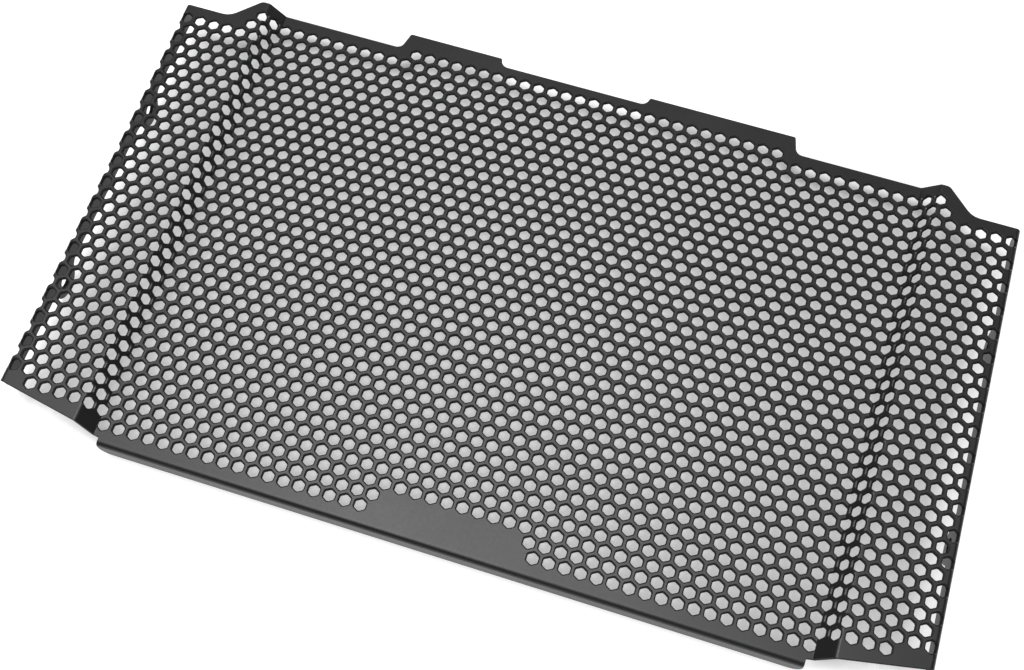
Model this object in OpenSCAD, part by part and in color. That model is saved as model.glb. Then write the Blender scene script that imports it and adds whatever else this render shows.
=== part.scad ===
// Radiator guard: one perforated sheet with raised wings, side flanges, four bolt lugs and a bottom lip.
// X runs along the guard, Y up its height as fitted, Z out of its front face.
// It lies on its four lug tips, front face up, with the origin under its middle.

/* [Sheet] */
// thickness of the sheet
sheet_t = 1.5; // [1:0.1:2.5]
// inside radius of every bend
bend_r = 0.6; // [0.4:0.1:2]
// straight pieces that make up a right-angle arc
arc_steps = 6; // [4:1:12]

/* [Guard] */
// width over the side flanges
guard_w = 383.8; // [340:0.2:440]
// height from the face of the bottom lip to the top of the tabs
guard_h = 227.4; // [200:0.1:260]

/* [Joggle and wings] */
// width of each wing from its crease to the outside of the side flange
wing_w = 36.2; // [28:0.1:50]
// how far the wings stand in front of the main panel
joggle_rise = 7; // [4:0.5:12]
// step from the lip's bend up to the wings' lower edge, beside the lip
wing_step = 1.2; // [0.4:0.1:4]
// height of the wings' lower edge over the lip's face, at the side flange
wing_low_out = 12.1; // [6:0.1:20]

/* [Top edge] */
// how far the two tabs stand above the shoulders
tab_h = 8.5; // [5:0.1:14]
// width over both tabs along their top edges
tabs_w = 180.8; // [150:0.2:220]
// right end of the left tab's top edge, from the middle
step_left = -46.5; // [-60:0.1:-30]
// left end of the right tab's top edge, from the middle
step_right = 23.4; // [10:0.1:50]
// how far the stretch between the tabs lies below them
step_drop = 4; // [3.6:0.1:5]
// lean of the tabs' sides, in degrees
tab_lean = 14; // [6:1:24]
// width of each wing's top edge beside the slope
wing_top_w = 21.1; // [12:0.1:24]
// drop of the 45 degree slope from shoulder to wing
shoulder_drop = 11.7; // [6:0.1:16]
// radius of the sheet's small outer corners
corner_r = 1; // [0.5:0.1:1.8]
// radius in the inner corners beside the tabs
tab_fillet_r = 3.4; // [0.5:0.1:4.2]
// radius where shoulder and slope meet
shoulder_r = 3; // [1:0.5:6]
// radius where slope and wing meet
wing_fillet_r = 8; // [2:0.5:12]

/* [Perforation] */
// distance between neighbouring holes
hole_pitch = 13; // [11:0.5:18]
// hexagonal hole across its flats
hole_af = 9.2; // [7:0.1:9.5]
// least plain sheet between a hole and an edge
rim = 2.2; // [1.5:0.1:5]
// height of the hole pattern's middle row over the lip's face
pattern_mid = 113; // [108:0.1:118]
// width of the plain field at the bottom
plain_w = 58; // [30:1:90]
// height of the plain field over the lip's face
plain_h = 17.2; // [10:0.1:40]

/* [Side flanges and lugs] */
// depth of the side flanges below the wings' front face
flange_depth = 9.75; // [8:0.05:12]
// step in from the wing's edges to the flange's ends
flange_inset = 1; // [0.5:0.1:3]
// radius of the flange's lower corners
flange_corner_r = 2; // [0.5:0.5:4]
// bolt hole in each lug
lug_hole_d = 6.5; // [5:0.1:8.5]
// radius of the lug round its hole
lug_r = 8; // [6.5:0.5:10]
// depth of the bolt holes below the wings' front face
lug_drop = 11.5; // [10.5:0.1:16]
// height of the lower bolt hole over the lip's face
lug_low = 65; // [40:0.5:80]
// distance between the bolt holes of one flange
lug_spacing = 90; // [70:0.5:110]
// radius between lug and flange
lug_fillet_r = 4.5; // [2:0.5:6]

/* [Bottom lip] */
// gap between each end of the lip and the main panel's fold
lip_gap = 2.7; // [0.5:0.1:10]
// depth of the lip below the main panel's front face
lip_depth = 8.8; // [6:0.1:12]
// radius of the lip's lower corners
lip_corner_r = 5.2; // [2:0.1:5.8]

/* [Hidden] */
bend_out = bend_r + sheet_t;
bend_mid = bend_r + sheet_t / 2;
joggle_angle = 45;
joggle_mitre = tan(joggle_angle / 2);
wing_z = lug_drop + lug_r;
main_z = wing_z - joggle_rise;
side_half = guard_w / 2;
crease_half = side_half - wing_w;
main_half = crease_half - joggle_rise;
lip_half = main_half - lip_gap;
tabs_half = tabs_w / 2;
tab_run = tan(tab_lean);
shoulder_half = side_half - wing_top_w - shoulder_drop;
shoulder_y = guard_h - tab_h;
step_y = guard_h - step_drop;
wing_top = shoulder_y - shoulder_drop;
wing_low_in = bend_out + wing_step;
wing_slope = (wing_low_out - wing_low_in) / (side_half - lip_half);
row_pitch = hole_pitch * sqrt(3) / 2;
hole_r = hole_af / sqrt(3);
rows = floor((guard_h / 2 + row_pitch) / row_pitch);
columns = ceil(guard_w / 2 / hole_pitch) + 1;
over = 1;

// The rows are punched in bands of a few rows each.
band_rows = 6;
bands = ceil((2 * rows + 1) / band_rows);

// Distances along the middle of the sheet, from the centre line, where each bend starts and ends.
bend1 = main_half - bend_mid * joggle_mitre;
bend1_end = bend1 + bend_mid * joggle_angle * PI / 180;
strip_flat = joggle_rise * sqrt(2) - 2 * bend_mid * joggle_mitre;
bend2 = bend1_end + strip_flat;
bend2_end = bend2 + bend_mid * joggle_angle * PI / 180;
wing_in = crease_half + bend_mid * joggle_mitre;
wing_out = side_half - bend_out;
bend3 = bend2_end + wing_out - wing_in;
bend3_end = bend3 + bend_mid * PI / 2;

// Points of an arc of radius r about c, from angle a to angle b.
function arc(c, r, a, b) =
    let (n = max(1, round(abs(b - a) / 90 * arc_steps)))
    [for (i = [0:n]) c + r * [cos(a + (b - a) * i / n), sin(a + (b - a) * i / n)]];

// One corner of a closed path rounded by an arc tangent to both its sides.
function corner(before, at, after, r) =
    let (
        u = (before - at) / norm(before - at),
        v = (after - at) / norm(after - at),
        half = acos(u * v) / 2,
        middle = (u + v) / norm(u + v),
        c = at + middle * r / sin(half),
        p = at + u * r / tan(half) - c,
        q = at + v * r / tan(half) - c,
        a = atan2(p[1], p[0]),
        turn = atan2(p[0] * q[1] - p[1] * q[0], p * q)
    )
    r == 0 ? [at] : arc(c, r, a, a + turn);

// A closed path of points [x, y, radius] with every corner rounded.
function rounded(path) =
    let (n = len(path), p = [for (k = path) [k[0], k[1]]])
    [for (i = [0:n - 1]) each corner(p[(i + n - 1) % n], p[i], p[(i + 1) % n], path[i][2])];

// A half path completed by its mirror image.
function mirrored(half) = [for (i = [len(half) - 1:-1:0]) [-half[i][0], half[i][1], half[i][2]]];

// Section across the guard: main panel, joggles, wings and side flanges down to the lug tips.
module section() {
    top = [
        [main_half - sheet_t / 2 * joggle_mitre, main_z, bend_r],
        [crease_half - sheet_t / 2 * joggle_mitre, wing_z, bend_out],
        [side_half, wing_z, bend_out],
        [side_half, 0, 0]
    ];
    under = [
        [side_half - sheet_t, 0, 0],
        [side_half - sheet_t, wing_z - sheet_t, bend_r],
        [crease_half + sheet_t / 2 * joggle_mitre, wing_z - sheet_t, bend_r],
        [main_half + sheet_t / 2 * joggle_mitre, main_z - sheet_t, bend_out]
    ];
    right = concat(top, under);
    polygon(rounded(concat(right, mirrored(right))));
}

// The guard's outline seen from the front, up from the line where the lip bends.
module outline() {
    low = [
        [lip_half, bend_out, 0],
        [lip_half, wing_low_in, wing_step / 2],
        [side_half, wing_low_out, corner_r],
        [side_half, wing_top, corner_r],
        [shoulder_half + shoulder_drop, wing_top, wing_fillet_r],
        [shoulder_half, shoulder_y, shoulder_r],
        [tabs_half + tab_h * tab_run, shoulder_y, tab_fillet_r],
        [tabs_half, guard_h, corner_r]
    ];
    middle = [
        [step_right, guard_h, corner_r],
        [step_right - step_drop * tab_run, step_y, tab_fillet_r],
        [step_left + step_drop * tab_run, step_y, tab_fillet_r],
        [step_left, guard_h, corner_r]
    ];
    polygon(rounded(concat(low, middle, mirrored(low))));
}

// Points round one lug at height y on the flange, with its two fillets.
function lug_path(y) =
    let (
        z = wing_z - lug_drop,
        edge_z = wing_z - flange_depth,
        fillet_z = edge_z - lug_fillet_r,
        reach = lug_r + lug_fillet_r,
        lean = asin((z - fillet_z) / reach),
        dy = reach * cos(lean)
    )
    concat(
        arc([y - dy, fillet_z], lug_fillet_r, 90, lean),
        arc([y, z], lug_r, 180 + lean, 360 - lean),
        arc([y + dy, fillet_z], lug_fillet_r, 180 - lean, 90)
    );

// A flange with its two lugs seen from the side, as Y and Z.
module flange_side() {
    y0 = wing_low_out + flange_inset;
    y1 = wing_top - flange_inset;
    edge_z = wing_z - flange_depth;
    ends = rounded([
        [y0, wing_z, 0], [y0, edge_z, flange_corner_r],
        [y1, edge_z, flange_corner_r], [y1, wing_z, 0]
    ]);
    half = len(ends) / 2;
    polygon(concat(
        [for (i = [0:half - 1]) ends[i]],
        lug_path(lug_low),
        lug_path(lug_low + lug_spacing),
        [for (i = [half:len(ends) - 1]) ends[i]]
    ));
}

// What is cut away from one flange to leave its edge and lugs.
module flange_waste() {
    translate([side_half - 3 * sheet_t, 0, 0])
        rotate([90, 0, 90])
            linear_extrude(3 * sheet_t + over)
                difference() {
                    translate([0, -over]) square([guard_h, wing_z - bend_out + over]);
                    flange_side();
                }
}

// The sheet trimmed and folded, without its lip and holes.
module folded_sheet() {
    difference() {
        intersection() {
            translate([0, guard_h + over, 0])
                rotate([90, 0, 0]) linear_extrude(guard_h + 2 * over) section();
            translate([0, 0, -over]) linear_extrude(wing_z + 2 * over) outline();
        }
        flange_waste();
        mirror([1, 0, 0]) flange_waste();
    }
}

// The lip along the bottom, bent back square from the main panel.
module lip() {
    flat = bend_out + sheet_t;
    intersection() {
        translate([-lip_half, 0, 0])
            rotate([90, 0, 90])
                linear_extrude(2 * lip_half)
                    polygon(rounded([
                        [0, main_z, bend_out], [0, main_z - lip_depth, 0],
                        [sheet_t, main_z - lip_depth, 0], [sheet_t, main_z - sheet_t, bend_r],
                        [flat, main_z - sheet_t, 0], [flat, main_z, 0]
                    ]));
        translate([0, flat + over, 0])
            rotate([90, 0, 0])
                linear_extrude(flat + 2 * over)
                    polygon(rounded([
                        [-lip_half, main_z, 0], [-lip_half, main_z - lip_depth, lip_corner_r],
                        [lip_half, main_z - lip_depth, lip_corner_r], [lip_half, main_z, 0]
                    ]));
    }
}

// Place [x, z] on the middle of the folded sheet at distance s along it from the centre line.
function folded(s) =
    let (turn1 = (s - bend1) / bend_mid * 180 / PI, turn2 = (bend2_end - s) / bend_mid * 180 / PI)
    let (turn3 = (s - bend3) / bend_mid * 180 / PI)
    let (low = main_z - sheet_t / 2, high = wing_z - sheet_t / 2)
    s <= bend1 ? [s, low] :
    s <= bend1_end ? [bend1 + bend_mid * sin(turn1), low + bend_mid * (1 - cos(turn1))] :
    s <= bend2 ? folded(bend1_end) + (s - bend1_end) * [cos(joggle_angle), sin(joggle_angle)] :
    s <= bend2_end ? [wing_in - bend_mid * sin(turn2), high - bend_mid * (1 - cos(turn2))] :
    s <= bend3 ? [wing_in + s - bend2_end, high] :
    [wing_out + bend_mid * sin(turn3), high - bend_mid * (1 - cos(turn3))];

// Heights of the guard's top and bottom edges at distance x from the centre line.
function top_edge(x) =
    x > step_left && x < step_right ? step_y :
    abs(x) < tabs_half ? guard_h :
    max(wing_top, min(shoulder_y, shoulder_y + shoulder_half - abs(x)));
function low_edge(x) = abs(x) < lip_half ? bend_out : wing_low_in + wing_slope * (abs(x) - lip_half);

// Whether a hole at s along the sheet and height y keeps its rim and stays off the plain field.
function fits(s, y) =
    let (w = hole_af / 2, x0 = folded(abs(s) - w)[0], x1 = folded(abs(s) + w)[0], side = s < 0 ? -1 : 1)
    abs(s) + w <= bend3_end
    && !(abs(s) < plain_w / 2 + w && y - hole_r < plain_h)
    && min([for (x = [x0, x1]) top_edge(side * x) - y - hole_r / 2]) >= rim
    && min([for (x = [x0, x1]) y - hole_r / 2 - low_edge(side * x)]) >= rim
    && top_edge(s) - y - hole_r >= rim
    && y - hole_r - low_edge((x0 + x1) / 2) >= rim;

// One hexagonal punch, square to the line between the two sides of its hole on the folded sheet.
module punch(s, y) {
    a = folded(s - hole_af / 2);
    b = folded(s + hole_af / 2);
    w = norm(b - a) / 2;
    translate([(a[0] + b[0]) / 2, y, (a[1] + b[1]) / 2])
        rotate([0, -atan2(b[1] - a[1], b[0] - a[0]), 0])
            linear_extrude(hole_af, center = true)
                polygon([
                    [0, hole_r], [w, hole_r / 2], [w, -hole_r / 2],
                    [0, -hole_r], [-w, -hole_r / 2], [-w, hole_r / 2]
                ]);
}

// One row of punches; every second row is shifted by half a pitch.
module punch_row(row) {
    y = pattern_mid + row * row_pitch;
    shift = row % 2 == 0 ? hole_pitch / 2 : 0;
    for (i = [-columns:columns]) {
        s = i * hole_pitch + shift;
        if (fits(s, y)) {
            if (s < 0) mirror([1, 0, 0]) punch(-s, y);
            else punch(s, y);
        }
    }
}

// The folded sheet with its lip and its lug bores.
module unpunched() {
    difference() {
        union() {
            folded_sheet();
            lip();
        }
        for (y = [lug_low, lug_low + lug_spacing])
            translate([0, y, wing_z - lug_drop])
                rotate([0, 90, 0])
                    cylinder(h = guard_w + 2 * over, d = lug_hole_d, center = true, $fn = 48);
    }
}

// The sheet punched band by band, from the lowest band up to this one.
module punched(band) {
    if (band < 0) unpunched();
    else
        difference() {
            punched(band - 1);
            for (row = [band * band_rows:(band + 1) * band_rows - 1]) punch_row(row - rows);
        }
}

module guard() {
    color("#3a3a3c")
        translate([0, -guard_h / 2, 0])
            punched(bands - 1);
}

guard();
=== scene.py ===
import math

import bmesh
import bpy
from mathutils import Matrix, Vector


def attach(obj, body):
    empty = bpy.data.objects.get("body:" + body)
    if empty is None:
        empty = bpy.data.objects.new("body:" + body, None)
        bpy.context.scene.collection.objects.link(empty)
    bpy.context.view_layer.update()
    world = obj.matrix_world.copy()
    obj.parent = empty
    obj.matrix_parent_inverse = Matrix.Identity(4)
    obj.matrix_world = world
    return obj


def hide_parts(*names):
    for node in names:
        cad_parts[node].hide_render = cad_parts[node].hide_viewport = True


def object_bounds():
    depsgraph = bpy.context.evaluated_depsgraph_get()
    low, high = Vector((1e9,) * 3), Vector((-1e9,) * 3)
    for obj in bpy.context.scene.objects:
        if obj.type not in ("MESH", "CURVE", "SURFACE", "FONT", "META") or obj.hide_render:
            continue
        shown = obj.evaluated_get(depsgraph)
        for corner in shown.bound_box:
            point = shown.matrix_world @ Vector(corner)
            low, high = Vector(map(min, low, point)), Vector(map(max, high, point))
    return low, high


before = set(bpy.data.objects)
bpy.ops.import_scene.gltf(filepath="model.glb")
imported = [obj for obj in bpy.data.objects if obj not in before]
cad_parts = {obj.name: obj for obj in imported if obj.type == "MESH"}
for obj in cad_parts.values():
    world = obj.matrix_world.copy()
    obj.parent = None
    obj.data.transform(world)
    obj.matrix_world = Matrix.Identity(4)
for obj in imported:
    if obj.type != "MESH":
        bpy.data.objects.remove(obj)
CAD_LOW, CAD_HIGH = [Vector(corner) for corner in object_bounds()]

bl_info = {
    "name": "Radiator guard",
    "version": (1, 0, 0),
    "blender": (4, 5, 0),
    "location": "View3D > Sidebar > Guard",
    "description": "Cuts, punches and folds a perforated radiator guard and lights it",
    "category": "Add Mesh",
}

MM = 0.001
TINY = 1e-6

# Straight steps in a right angle of a rounded corner and of a lug, and sides of a bolt hole
CORNER_STEPS = 6
LUG_STEPS = 8
BORE_SIDES = 32

# The overall box comes from the frame.
SIDE_HALF = CAD_HIGH.x
LIP_FACE_Y = CAD_LOW.y
GUARD_H = CAD_HIGH.y - CAD_LOW.y
WING_Z = CAD_HIGH.z

# Joggle and wings
JOGGLE_ANGLE = 45
MAIN_HALF = 148.7 * MM
JOGGLE_RISE = 7 * MM
WING_STEP = 1.2 * MM
WING_LOW_OUT = 12.1 * MM

# Top edge, with heights measured down from the tabs
TAB_H = 8.5 * MM
TABS_HALF = 90.4 * MM
STEP_LEFT = -46.5 * MM
STEP_RIGHT = 23.4 * MM
STEP_DROP = 4 * MM
TAB_RUN = math.tan(math.radians(14))
SHOULDER_HALF = 159.1 * MM
SHOULDER_DROP = 11.7 * MM
CORNER_R = 1 * MM
TAB_FILLET_R = 3.4 * MM
SHOULDER_R = 3 * MM
WING_FILLET_R = 8 * MM

# Hole pattern, with heights over the lip's face
PATTERN_MID = 113 * MM
RIM = 3.5 * MM
LEFT_WING_RIM = 2.9 * MM
FLANGE_RIM = 2 * MM
PLAIN_HALF = 29 * MM
PLAIN_H = 17.2 * MM

# Side flanges and lugs
FLANGE_DEPTH = 9.75 * MM
FLANGE_INSET = 1 * MM
FLANGE_CORNER_R = 2 * MM
LUG_HOLE_R = 3.25 * MM
LUG_R = 8 * MM
LUG_DROP = 11.5 * MM
LUG_HEIGHTS = (65 * MM, 155 * MM)
LUG_FILLET_R = 4.5 * MM
LUG_CLEAR = 8 * MM

# Bottom lip
LIP_HALF = 146 * MM
LIP_DEPTH = 8.8 * MM
LIP_CORNER_R = 5.2 * MM

# A face of the flat blank whose normal rises less than this is a cut wall
WALL_RISE = 0.3

# Scales of the coating's noise and the depth of its grain
PATCH_SCALE = 22.0
SPECK_SCALE = 900.0
GRAIN_SCALE = 2600.0
WALL_SCALE = 1200.0
GRAIN_DEPTH = 0.05 * MM

# Camera of the front view
CAMERA_AT = (0.0676, -0.2454, 0.5489)
CAMERA_TURN = (23.566, -0.114, 17.717)
CAMERA_LENS = 49.54
CAMERA_SHIFT = (0.0084, 0.0104)

# Floor
FLOOR_SIZE = 2.6

# Light, where a level of one shows a white floor as white
WORLD_LEVEL = 0.12
KEY_AT = (-0.22, 0.18, 2.2)
KEY_SIZE = 0.9
KEY_WATTS = 30.5
SIDE_AT = (-0.90, 0.10, 2.0)
SIDE_SIZE = 0.8
SIDE_WATTS = 6

# How much brighter than its light the floor is seen, under the guard and in the open: the small lift under
# the guard paints a shadow there, and the large one in the open paints over the guard's shadow round it
LIFT_IN_PAINTED_SHADOW = 0.315
LIFT_OPEN = 0.84

# The part of the floor with the painted shadow: its half width, its front and back, and how far its edges
# fade
SHADE_HALF = 180 * MM
SHADE_FRONT = 105.5 * MM
SHADE_BACK = 105 * MM
SHADE_FADE = 18 * MM
SHADE_FRONT_FADE = 6 * MM

# Beside the lip its front slants back, and beside the shoulders its back drops
SHADE_SLOPE = 0.235
SHADE_SHOULDER = 165 * MM
SHADE_DROP = 16 * MM


class SheetSizes(bpy.types.PropertyGroup):
    """Sizes of the sheet and its perforation."""

    thickness: bpy.props.FloatProperty(
        name="Thickness", description="Thickness of the sheet", default=1.5 * MM, unit="LENGTH"
    )
    bend_radius: bpy.props.FloatProperty(
        name="Bend radius", description="Inside radius of every bend", default=0.6 * MM, unit="LENGTH"
    )
    bend_steps: bpy.props.IntProperty(
        name="Bend steps", description="Strokes of the press in a right-angle bend", default=8, min=2
    )
    pitch: bpy.props.FloatProperty(
        name="Hole pitch", description="Distance between neighbouring holes",
        default=6.5 * MM, unit="LENGTH"
    )
    across: bpy.props.FloatProperty(
        name="Hole across flats", description="Width of a hexagonal hole", default=4.6 * MM, unit="LENGTH"
    )
    hole_corner: bpy.props.FloatProperty(
        name="Hole corner", description="Cut across each corner of a hole", default=0.35 * MM, unit="LENGTH"
    )
    hole_edge: bpy.props.FloatProperty(
        name="Hole edge", description="Drawn-in front edge of a punched hole",
        default=0.34 * MM, unit="LENGTH"
    )
    edge: bpy.props.FloatProperty(
        name="Edge break", description="Broken edge round the outline", default=0.15 * MM, unit="LENGTH"
    )


class CoatLook(bpy.types.PropertyGroup):
    """Colour and finish of the coating and the stage."""

    coat: bpy.props.FloatVectorProperty(
        name="Coating", description="Colour of the coating", subtype="COLOR", size=3,
        default=(0.014, 0.014, 0.015)
    )
    worn: bpy.props.FloatVectorProperty(
        name="Rubbed coating", description="Colour of rubbed patches", subtype="COLOR", size=3,
        default=(0.021, 0.021, 0.022)
    )
    # The cut walls' colour is darker than the coating: painted shade in the holes.
    wall: bpy.props.FloatVectorProperty(
        name="Cut walls", description="Colour of the sheet's cut walls", subtype="COLOR", size=3,
        default=(0.009, 0.009, 0.010)
    )
    roughness: bpy.props.FloatProperty(
        name="Roughness", description="Roughness of the coating",
        default=0.42, min=0, max=1, subtype="FACTOR"
    )
    floor: bpy.props.FloatVectorProperty(
        name="Floor", description="Colour of the floor", subtype="COLOR", size=3, default=(0.62, 0.62, 0.62)
    )


class Value:
    """A shader value that takes part in Python expressions."""

    def __init__(self, tree, socket):
        self.tree = tree
        self.socket = socket

    def math(self, operation, *others):
        return node(self.tree, "ShaderNodeMath", {"operation": operation}, (self, *others))

    def __add__(self, other):
        return self.math("ADD", other)

    def __radd__(self, other):
        return self.math("ADD", other)

    def __sub__(self, other):
        return self.math("SUBTRACT", other)

    def __rsub__(self, other):
        return self.math("MULTIPLY_ADD", -1.0, other)

    def __mul__(self, other):
        return self.math("MULTIPLY", other)

    def __rmul__(self, other):
        return self.math("MULTIPLY", other)


def node(tree, kind, settings=None, values=(), output=0):
    """Adds a node, sets it up, fills its sockets by index or name and returns one output as a Value."""
    made = tree.nodes.new(kind)
    for key, setting in (settings or {}).items():
        if key == "stops":
            for stop, (place, grey) in zip(made.color_ramp.elements, setting):
                stop.position = place
                stop.color = (grey, grey, grey, 1)
        else:
            setattr(made, key, setting)
    pairs = values.items() if isinstance(values, dict) else enumerate(values)
    for key, value in pairs:
        if isinstance(value, Value):
            tree.links.new(value.socket, made.inputs[key])
        else:
            made.inputs[key].default_value = value
    return Value(tree, made.outputs[output])


def new_material(name):
    """An empty material's tree and its output node."""
    material = bpy.data.materials.new(name)
    material.use_nodes = True
    material.node_tree.nodes.clear()
    output = material.node_tree.nodes.new("ShaderNodeOutputMaterial")
    return material, material.node_tree, output


def painted_wall_shade_material(look):
    """Dull finish on the cut walls of the sheet, in a darker colour that paints shade into the holes."""
    material, tree, output = new_material("cut_walls")
    place = node(tree, "ShaderNodeTexCoord", output="Object")
    specks = node(tree, "ShaderNodeTexNoise", values={"Vector": place, "Scale": WALL_SCALE, "Detail": 2.0})
    # Its darker base colour is painted shade in the holes; the roughness and weak sheen are the finish.
    surface = node(
        tree, "ShaderNodeBsdfPrincipled",
        values={"Base Color": (*look.wall, 1), "Roughness": specks * 0.2 + 0.6, "Specular IOR Level": 0.2}
    )
    tree.links.new(surface.socket, output.inputs["Surface"])
    return material


def coating_material(look):
    """Satin powder coating: fine orange-peel grain, soft patches of rubbed colour and sheen."""
    material, tree, output = new_material("satin_coating")
    place = node(tree, "ShaderNodeTexCoord", output="Object")
    patches = node(tree, "ShaderNodeTexNoise", values={"Vector": place, "Scale": PATCH_SCALE, "Detail": 4.0})
    specks = node(tree, "ShaderNodeTexNoise", values={"Vector": place, "Scale": SPECK_SCALE, "Detail": 2.0})
    grain = node(tree, "ShaderNodeTexNoise", values={"Vector": place, "Scale": GRAIN_SCALE, "Detail": 2.0})
    rubbed = node(
        tree, "ShaderNodeValToRGB",
        {"stops": ((0.42, 0.0), (0.72, 1.0))}, {"Fac": patches * 0.75 + specks * 0.25}
    )
    colour = node(
        tree, "ShaderNodeMix", {"data_type": "RGBA"},
        {0: rubbed, 6: (*look.coat, 1), 7: (*look.worn, 1)}, output=2
    )
    roughness = patches * 0.10 + specks * 0.06 + (look.roughness - 0.08)
    bump = node(tree, "ShaderNodeBump", values={"Strength": 0.12, "Distance": GRAIN_DEPTH, "Height": grain})
    surface = node(
        tree, "ShaderNodeBsdfPrincipled",
        values={"Base Color": colour, "Roughness": roughness, "Normal": bump, "IOR": 1.5}
    )
    tree.links.new(surface.socket, output.inputs["Surface"])
    return material


def seen_rays(tree):
    """One for rays of the camera, of reflections and through glass, and nought for rays that only light."""
    rays = tree.nodes.new("ShaderNodeLightPath")
    kinds = [Value(tree, rays.outputs[f"Is {kind} Ray"]) for kind in ("Camera", "Glossy", "Transmission")]
    return kinds[0] + kinds[1] + kinds[2]


def painted_shadow_fade(tree):
    """Nought under the guard, where a shadow is painted, rising to one on the open floor round it."""
    place = node(tree, "ShaderNodeTexCoord", output="Object")
    split = tree.nodes.new("ShaderNodeSeparateXYZ")
    tree.links.new(place.socket, split.inputs[0])
    x, y = [Value(tree, split.outputs[axis]) for axis in ("X", "Y")]
    beside = x.math("ABSOLUTE")
    slant = (beside - LIP_HALF).math("MAXIMUM", 0.0) * SHADE_SLOPE
    drop = (beside - SHADE_SHOULDER).math("MAXIMUM", 0.0).math("MINIMUM", SHADE_DROP)
    past_front = (slant - y - SHADE_FRONT) * (1 / SHADE_FRONT_FADE)
    past_back = (drop + y - SHADE_BACK) * (1 / SHADE_FADE)
    past_ends = (beside - SHADE_HALF) * (1 / SHADE_FADE)
    past = past_front.math("MAXIMUM", past_back).math("MAXIMUM", past_ends)
    return node(tree, "ShaderNodeClamp", values={"Value": past, "Min": 0.0, "Max": 1.0})


def floor_painted_shadow_material(look):
    """Pale matte floor that a camera or a reflection sees brighter, so that it stays white in the open, and
    less bright under the guard as a painted shadow.
    """
    material, tree, output = new_material("pale_floor")
    # The floor is lifted less under the guard than in the open: a painted shadow under it, painted light
    # over its shadow round it.
    level = painted_shadow_fade(tree) * (LIFT_OPEN - LIFT_IN_PAINTED_SHADOW) + LIFT_IN_PAINTED_SHADOW
    colour = node(tree, "ShaderNodeCombineXYZ", values=(level, level, level))
    lift = node(tree, "ShaderNodeEmission", values={"Color": colour, "Strength": seen_rays(tree)})
    paint = node(tree, "ShaderNodeBsdfDiffuse", values={"Color": (*look.floor, 1)})
    both = node(tree, "ShaderNodeAddShader", values=(paint, lift))
    tree.links.new(both.socket, output.inputs["Surface"])
    return material


def arc(centre, radius, start, end, steps):
    """Points of an arc from angle start to angle end, in degrees."""
    count = max(1, round(abs(end - start) / 90 * steps))
    angles = [math.radians(start + (end - start) * i / count) for i in range(count + 1)]
    return [centre + radius * Vector((math.cos(a), math.sin(a))) for a in angles]


def rounded(path):
    """A closed path of points (x, y, radius) with every corner rounded by a tangent arc."""
    points = []
    places = [Vector(p[:2]) for p in path]
    for i, (x, y, radius) in enumerate(path):
        at = places[i]
        if radius == 0:
            points.append(at)
            continue
        u = (places[i - 1] - at).normalized()
        v = (places[(i + 1) % len(path)] - at).normalized()
        half = math.acos(max(-1.0, min(1.0, u.dot(v)))) / 2
        centre = at + (u + v).normalized() * radius / math.sin(half)
        p = at + u * radius / math.tan(half) - centre
        q = at + v * radius / math.tan(half) - centre
        start = math.degrees(math.atan2(p.y, p.x))
        turn = math.degrees(math.atan2(p.x * q.y - p.y * q.x, p.dot(q)))
        points += arc(centre, radius, start, start + turn, CORNER_STEPS)
    return points


class Blank:
    """The flat sheet before folding: where its bends lie and how the front view maps to it."""

    def __init__(self, sizes):
        self.t = sizes.thickness
        self.out = sizes.bend_radius + sizes.thickness
        mid = sizes.bend_radius + sizes.thickness / 2
        tangent = mid * math.tan(math.radians(JOGGLE_ANGLE / 2))
        quarter = mid * math.pi / 2
        self.bend1 = MAIN_HALF - tangent
        self.bend1_end = self.bend1 + quarter / 2
        self.bend2 = self.bend1_end + JOGGLE_RISE * math.sqrt(2) - 2 * tangent
        self.bend2_end = self.bend2 + quarter / 2
        self.wing_in = MAIN_HALF + JOGGLE_RISE + tangent
        self.wing_out = SIDE_HALF - self.out
        self.bend3 = self.bend2_end + self.wing_out - self.wing_in
        self.bend3_end = self.bend3 + quarter
        self.wing_low_in = self.out + WING_STEP
        self.lip_bend = self.out
        self.lip_bend_end = self.out - quarter

    def along(self, x):
        """Distance along the sheet of the place seen at x in the front view."""
        x = abs(x)
        if x <= self.bend1:
            return x
        if x >= self.wing_in:
            return self.bend2_end + x - self.wing_in
        share = (x - self.bend1) / (self.wing_in - self.bend1)
        return self.bend1 + share * (self.bend2_end - self.bend1)

    def seen(self, s):
        """The place in the front view of distance s along the sheet."""
        s = abs(s)
        if s <= self.bend1:
            return s
        if s >= self.bend2_end:
            return min(self.wing_in + s - self.bend2_end, SIDE_HALF)
        share = (s - self.bend1) / (self.bend2_end - self.bend1)
        return self.bend1 + share * (self.wing_in - self.bend1)

    def wing_low(self, x):
        """Height of a wing's lower edge over the lip's face."""
        slope = (WING_LOW_OUT - self.wing_low_in) / (SIDE_HALF - LIP_HALF)
        return self.wing_low_in + slope * (abs(x) - LIP_HALF)

    def flange(self, depth):
        """Distance along the sheet of a depth below the wing's front face on the flange."""
        return self.bend3_end + depth - self.out


def lug_points(blank, y):
    """The rounded edge of one lug and its two fillets on the blank, from below to above."""
    reach = LUG_R + LUG_FILLET_R
    lean = math.degrees(math.asin((LUG_FILLET_R + FLANGE_DEPTH - LUG_DROP) / reach))
    side = reach * math.cos(math.radians(lean))
    hole = blank.flange(LUG_DROP)
    root = blank.flange(FLANGE_DEPTH) + LUG_FILLET_R
    below = arc(Vector((root, y - side)), LUG_FILLET_R, 180, 90 + lean, CORNER_STEPS)
    round_end = arc(Vector((hole, y)), LUG_R, lean - 90, 90 - lean, LUG_STEPS)
    above = arc(Vector((root, y + side)), LUG_FILLET_R, 270 - lean, 180, CORNER_STEPS)
    return below + round_end + above


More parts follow.
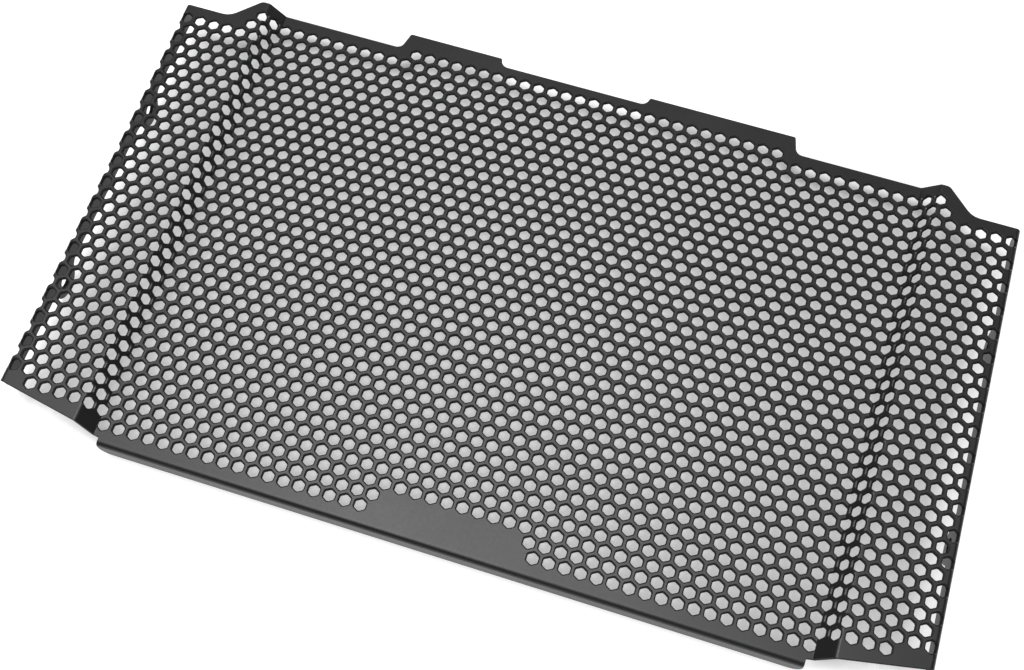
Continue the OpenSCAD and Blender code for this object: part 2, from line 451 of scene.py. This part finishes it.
def blank_outline(blank):
    """The blank's whole outline, anticlockwise from the lip's lower right corner."""
    shoulder_y = GUARD_H - TAB_H
    step_y = GUARD_H - STEP_DROP
    wing_top = shoulder_y - SHOULDER_DROP
    lip_end = blank.lip_bend_end - (LIP_DEPTH - blank.out)
    edge = blank.flange(FLANGE_DEPTH)
    flange_low = WING_LOW_OUT + FLANGE_INSET
    flange_top = wing_top - FLANGE_INSET
    low = [
        (LIP_HALF, lip_end, LIP_CORNER_R),
        (LIP_HALF, blank.wing_low_in, WING_STEP / 2),
        (blank.bend1, blank.wing_low(blank.bend1), 0),
        (blank.bend2_end, blank.wing_low(blank.wing_in), 0),
        (blank.bend3, blank.wing_low(blank.wing_out), 0),
        (blank.bend3_end, WING_LOW_OUT, 0),
        (blank.bend3_end, flange_low, 0),
        (edge, flange_low, FLANGE_CORNER_R),
    ]
    high = [
        (edge, flange_top, FLANGE_CORNER_R),
        (blank.bend3_end, flange_top, 0),
        (blank.bend3_end, wing_top, 0),
        (blank.along(SHOULDER_HALF + SHOULDER_DROP), wing_top, WING_FILLET_R),
        (blank.along(SHOULDER_HALF), shoulder_y, SHOULDER_R),
        (TABS_HALF + TAB_H * TAB_RUN, shoulder_y, TAB_FILLET_R),
        (TABS_HALF, GUARD_H, CORNER_R),
    ]
    middle = [
        (STEP_RIGHT, GUARD_H, CORNER_R),
        (STEP_RIGHT - STEP_DROP * TAB_RUN, step_y, TAB_FILLET_R),
        (STEP_LEFT + STEP_DROP * TAB_RUN, step_y, TAB_FILLET_R),
        (STEP_LEFT, GUARD_H, CORNER_R),
    ]
    lugs = [point for lug_y in LUG_HEIGHTS for point in lug_points(blank, lug_y)]
    right = low + [(p.x, p.y, 0) for p in lugs] + high
    left = [(-x, y, radius) for x, y, radius in reversed(right)]
    return rounded(right + middle + left)


def top_edge(x):
    """Height of the guard's top edge over the lip's face."""
    if STEP_LEFT < x < STEP_RIGHT:
        return GUARD_H - STEP_DROP
    if abs(x) < TABS_HALF:
        return GUARD_H
    shoulder = GUARD_H - TAB_H
    return max(shoulder - SHOULDER_DROP, min(shoulder, shoulder + SHOULDER_HALF - abs(x)))


def hole_fits(blank, sizes, s, y):
    """Whether a hole keeps its rim and stays off the plain field, the lugs and the right flange."""
    w = sizes.across / 2
    corner = sizes.across / math.sqrt(3)
    if abs(s) + w > blank.bend3_end:
        edge = blank.flange(FLANGE_DEPTH)
        place = Vector((abs(s), y))
        bolts = [Vector((blank.flange(LUG_DROP), bolt_y)) for bolt_y in LUG_HEIGHTS]
        near_lug = any((place - bolt).length < LUG_CLEAR for bolt in bolts)
        inside = blank.wing_low(SIDE_HALF) + RIM < y - corner and y + corner < top_edge(SIDE_HALF) - RIM
        return s < 0 and inside and not near_lug and abs(s) + w <= edge - FLANGE_RIM
    if abs(s) < PLAIN_HALF + w and y - corner < PLAIN_H:
        return False
    side = math.copysign(1, s)
    rim = LEFT_WING_RIM if s < -blank.bend2_end else RIM
    for x in (side * blank.seen(abs(s) - w), side * blank.seen(abs(s) + w)):
        low = blank.out if abs(x) < LIP_HALF else blank.wing_low(x)
        if top_edge(x) - y - corner / 2 < rim or y - corner / 2 - low < rim:
            return False
    return top_edge(side * blank.seen(s)) - y - corner >= rim


def hole_runs(blank, sizes):
    """Unbroken runs of holes as (first distance, height, count), row by row."""
    row_pitch = sizes.pitch * math.sqrt(3) / 2
    rows = math.ceil(GUARD_H / row_pitch)
    columns = math.ceil(blank.flange(FLANGE_DEPTH) / sizes.pitch)
    runs = []
    for row in range(-rows, rows):
        y = PATTERN_MID + (row + 0.5) * row_pitch
        shift = 0.5 * (row % 2)
        kept = [
            (i + shift) * sizes.pitch for i in range(-columns, columns)
            if hole_fits(blank, sizes, (i + shift) * sizes.pitch, y)
        ]
        start = 0
        for i in range(1, len(kept) + 1):
            if i == len(kept) or kept[i] - kept[i - 1] > 1.5 * sizes.pitch:
                runs.append((kept[start], y, i - start))
                start = i
    return runs


def pick(test, kind="verts"):
    """Selects the elements of the mesh in edit mode that pass a test on their place."""
    mesh = bmesh.from_edit_mesh(bpy.context.object.data)
    bpy.ops.mesh.select_all(action="DESELECT")
    for element in getattr(mesh, kind):
        if test(element):
            element.select = True
    mesh.select_flush(True)
    bmesh.update_edit_mesh(bpy.context.object.data, loop_triangles=False, destructive=False)


def cut_blank(blank, sizes):
    """The flat blank as a plate with its front edge broken."""
    points = blank_outline(blank)
    bpy.ops.mesh.primitive_circle_add(vertices=len(points), radius=SIDE_HALF, fill_type="NGON")
    plate = bpy.context.object
    plate.name = "guard_sheet"
    for vertex, point in zip(plate.data.vertices, points):
        vertex.co = (point.x, point.y, -blank.t / 2)
    bpy.ops.object.mode_set(mode="EDIT")
    bpy.ops.mesh.select_all(action="SELECT")
    bpy.ops.mesh.extrude_region_move(TRANSFORM_OT_translate={"value": (0, 0, blank.t)})
    bpy.ops.mesh.select_all(action="SELECT")
    bpy.ops.mesh.normals_make_consistent(inside=False)
    bpy.ops.mesh.select_mode(type="EDGE")
    top = blank.t / 2 - TINY
    pick(lambda edge: all(v.co.z > top for v in edge.verts), "edges")
    bpy.ops.mesh.bevel(offset=sizes.edge, offset_type="OFFSET", segments=1, affect="EDGES")
    bpy.ops.mesh.select_mode(type="VERT")
    bpy.ops.object.mode_set(mode="OBJECT")
    return plate


def make_punch(blank, sizes):
    """One hexagonal punch with cut corners, flared at the front to break the hole's edge."""
    corner = sizes.across / math.sqrt(3)
    bpy.ops.mesh.primitive_cylinder_add(vertices=6, radius=corner, depth=2 * blank.t, location=(0, 0, 0))
    punch = bpy.context.object
    punch.name = "punch"
    bpy.ops.object.mode_set(mode="EDIT")
    bpy.ops.mesh.select_mode(type="EDGE")
    pick(lambda edge: abs(edge.verts[0].co.z - edge.verts[1].co.z) > blank.t, "edges")
    bpy.ops.mesh.bevel(offset=sizes.hole_corner, offset_type="OFFSET", segments=1, affect="EDGES")
    flare = blank.t / 2 - sizes.hole_edge
    bpy.ops.mesh.select_all(action="SELECT")
    bpy.ops.mesh.bisect(plane_co=(0, 0, flare), plane_no=(0, 0, 1))
    bpy.ops.mesh.select_mode(type="VERT")
    pick(lambda v: v.co.z > flare + TINY)
    grow = 1 + (blank.t - flare) / (sizes.across / 2)
    bpy.ops.transform.resize(value=(grow, grow, 1), center_override=(0, 0, 0))
    bpy.ops.object.mode_set(mode="OBJECT")
    return punch


def row_of_punches(punch, pitch, run):
    """A copy of the punch repeated along one run of holes."""
    first, y, count = run
    bpy.ops.object.select_all(action="DESELECT")
    punch.select_set(True)
    bpy.context.view_layer.objects.active = punch
    bpy.ops.object.duplicate()
    copy = bpy.context.object
    copy.location = (first, y, 0)
    if count > 1:
        repeat = copy.modifiers.new("repeat", "ARRAY")
        repeat.use_relative_offset = False
        repeat.use_constant_offset = True
        repeat.constant_offset_displace = (pitch, 0, 0)
        repeat.count = count
        bpy.ops.object.modifier_apply(modifier=repeat.name)
    return copy


def bore(x, y, radius, depth):
    """A round punch for a lug's bolt hole."""
    bpy.ops.mesh.primitive_cylinder_add(vertices=BORE_SIDES, radius=radius, depth=depth, location=(x, y, 0))
    return bpy.context.object


def punch_holes(plate, blank, sizes):
    """Punches every hexagon and the four bolt holes through the plate."""
    punch = make_punch(blank, sizes)
    tools = [row_of_punches(punch, sizes.pitch, run) for run in hole_runs(blank, sizes)]
    hole = blank.flange(LUG_DROP)
    for y in LUG_HEIGHTS:
        tools += [bore(side * hole, y, LUG_HOLE_R, 2 * blank.t) for side in (-1, 1)]
    bpy.data.objects.remove(punch)
    bpy.ops.object.select_all(action="DESELECT")
    for tool in tools:
        tool.select_set(True)
    bpy.context.view_layer.objects.active = tools[0]
    bpy.ops.object.join()
    bpy.ops.object.transform_apply(location=True, rotation=True, scale=True)
    cutter = bpy.context.object
    bpy.ops.object.select_all(action="DESELECT")
    plate.select_set(True)
    bpy.context.view_layer.objects.active = plate
    cut = plate.modifiers.new("punch", "BOOLEAN")
    cut.operation = "DIFFERENCE"
    cut.solver = "MANIFOLD"
    cut.object = cutter
    bpy.ops.object.modifier_apply(modifier=cut.name)
    bpy.data.objects.remove(cutter)


def press(axis, line, turn, side):
    """One stroke of the press: what lies beyond the line turns fully and what lies on it turns by half."""
    index = "XYZ".index(axis[0])
    centre = (line, 0, 0) if index == 0 else (0, line, 0)
    for reach in (-TINY, TINY):
        pick(lambda v: (v.co[index] - line) * side > reach)
        bpy.ops.transform.rotate(value=turn / 2, orient_axis=axis[1], center_override=centre)


def bend_lines(start, end, steps):
    """The lines of one bend's even strokes, from the outer one inwards."""
    return [end + (start - end) * (i + 0.5) / steps for i in range(steps)]


def bend(axis, start, end, angle, steps, side):
    """Folds the sheet by an angle between two lines."""
    for line in bend_lines(start, end, steps):
        press(axis, line * (side if axis[0] == "X" else 1), math.radians(angle) / steps, side)


def fold_sheet(plate, blank, sizes):
    """Folds flanges, joggles and lip as on a press brake."""
    whole = sizes.bend_steps
    half = whole // 2
    bends = (
        (blank.bend3, blank.bend3_end, -90, whole),
        (blank.bend2, blank.bend2_end, -JOGGLE_ANGLE, half),
        (blank.bend1, blank.bend1_end, JOGGLE_ANGLE, half),
    )
    bpy.ops.object.mode_set(mode="EDIT")
    bpy.ops.mesh.select_mode(type="VERT")
    for start, end, angle, steps in bends:
        for line in bend_lines(start, end, steps):
            for side in (-1, 1):
                bpy.ops.mesh.select_all(action="SELECT")
                bpy.ops.mesh.bisect(plane_co=(side * line, 0, 0), plane_no=(1, 0, 0))
    for line in bend_lines(blank.lip_bend, blank.lip_bend_end, whole):
        bpy.ops.mesh.select_all(action="SELECT")
        bpy.ops.mesh.bisect(plane_co=(0, line, 0), plane_no=(0, 1, 0))
    for start, end, angle, steps in bends:
        for side in (-1, 1):
            bend("XY", start, end, angle * side, steps, side)
    bend("YX", blank.lip_bend, blank.lip_bend_end, -90, whole, -1)
    bpy.ops.mesh.select_all(action="SELECT")
    raise_by = WING_Z - JOGGLE_RISE - blank.t / 2
    bpy.ops.transform.translate(value=(0, LIP_FACE_Y, raise_by))
    bpy.ops.object.mode_set(mode="OBJECT")


def coat_sheet(plate, look):
    """Gives the flat sheet its coating, with the dull finish and a darker colour of painted shade on every
    cut wall.
    """
    plate.data.materials.clear()
    plate.data.materials.append(coating_material(look))
    plate.data.materials.append(painted_wall_shade_material(look))
    for face in plate.data.polygons:
        face.material_index = 1 if abs(face.normal.z) < WALL_RISE else 0
        face.use_smooth = False


class GUARD_OT_sheet(bpy.types.Operator):
    """Cut the blank, punch its holes and fold it"""

    bl_idname = "guard.sheet"
    bl_label = "Guard sheet"

    def execute(self, context):
        sizes = context.scene.guard_sizes
        blank = Blank(sizes)
        bpy.ops.object.select_all(action="DESELECT")
        plate = cut_blank(blank, sizes)
        punch_holes(plate, blank, sizes)
        coat_sheet(plate, context.scene.guard_look)
        fold_sheet(plate, blank, sizes)
        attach(plate, "root")
        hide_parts("guard")
        return {"FINISHED"}


def soft_box(name, at, size, power):
    """A large square lamp that points at the guard's middle."""
    bpy.ops.object.light_add(type="AREA", location=at)
    lamp = bpy.context.object
    lamp.name = name
    lamp.data.shape = "SQUARE"
    lamp.data.size = size
    lamp.data.energy = power
    lamp.rotation_euler = (-Vector(at)).to_track_quat("-Z", "Y").to_euler()


def light_world(level):
    """Even light all round, seen as white by the camera."""
    world = bpy.data.worlds.new("studio")
    bpy.context.scene.world = world
    world.use_nodes = True
    tree = world.node_tree
    tree.nodes.clear()
    rays = tree.nodes.new("ShaderNodeLightPath")
    strength = Value(tree, rays.outputs["Is Camera Ray"]) * (1 - level) + level
    background = node(tree, "ShaderNodeBackground", values={"Color": (1, 1, 1, 1), "Strength": strength})
    output = tree.nodes.new("ShaderNodeOutputWorld")
    tree.links.new(background.socket, output.inputs["Surface"])


def add_camera():
    """The camera at the front view's place."""
    turn = [math.radians(angle) for angle in CAMERA_TURN]
    bpy.ops.object.camera_add(location=CAMERA_AT, rotation=turn)
    camera = bpy.context.object
    camera.data.lens = CAMERA_LENS
    camera.data.shift_x, camera.data.shift_y = CAMERA_SHIFT
    camera.data.clip_start = 10 * MM
    bpy.context.scene.camera = camera


class GUARD_OT_stage(bpy.types.Operator):
    """Add the floor, the lamps, the world and the camera"""

    bl_idname = "guard.stage"
    bl_label = "Stage"

    def execute(self, context):
        bpy.ops.object.select_all(action="DESELECT")
        bpy.ops.mesh.primitive_plane_add(size=FLOOR_SIZE, location=(0, 0, 0))
        floor = context.object
        floor.name = "floor"
        floor.data.materials.append(floor_painted_shadow_material(context.scene.guard_look))
        soft_box("key_lamp", KEY_AT, KEY_SIZE, KEY_WATTS)
        soft_box("side_lamp", SIDE_AT, SIDE_SIZE, SIDE_WATTS)
        light_world(WORLD_LEVEL)
        add_camera()
        context.scene.view_settings.view_transform = "Standard"
        return {"FINISHED"}


class GUARD_PT_panel(bpy.types.Panel):
    """Sizes, looks and the steps that build the guard"""

    bl_label = "Radiator guard"
    bl_space_type = "VIEW_3D"
    bl_region_type = "UI"
    bl_category = "Guard"

    def draw(self, context):
        for group in (context.scene.guard_sizes, context.scene.guard_look):
            for name in group.__annotations__:
                self.layout.prop(group, name)
        self.layout.operator("guard.sheet")
        self.layout.operator("guard.stage")


CLASSES = (SheetSizes, CoatLook, GUARD_OT_sheet, GUARD_OT_stage, GUARD_PT_panel)


def register():
    for cls in CLASSES:
        bpy.utils.register_class(cls)
    bpy.types.Scene.guard_sizes = bpy.props.PointerProperty(type=SheetSizes)
    bpy.types.Scene.guard_look = bpy.props.PointerProperty(type=CoatLook)


def unregister():
    del bpy.types.Scene.guard_look
    del bpy.types.Scene.guard_sizes
    for cls in reversed(CLASSES):
        bpy.utils.unregister_class(cls)


def main():
    register()
    bpy.ops.guard.sheet()
    bpy.ops.guard.stage()


if __name__ == "__main__":
    main()
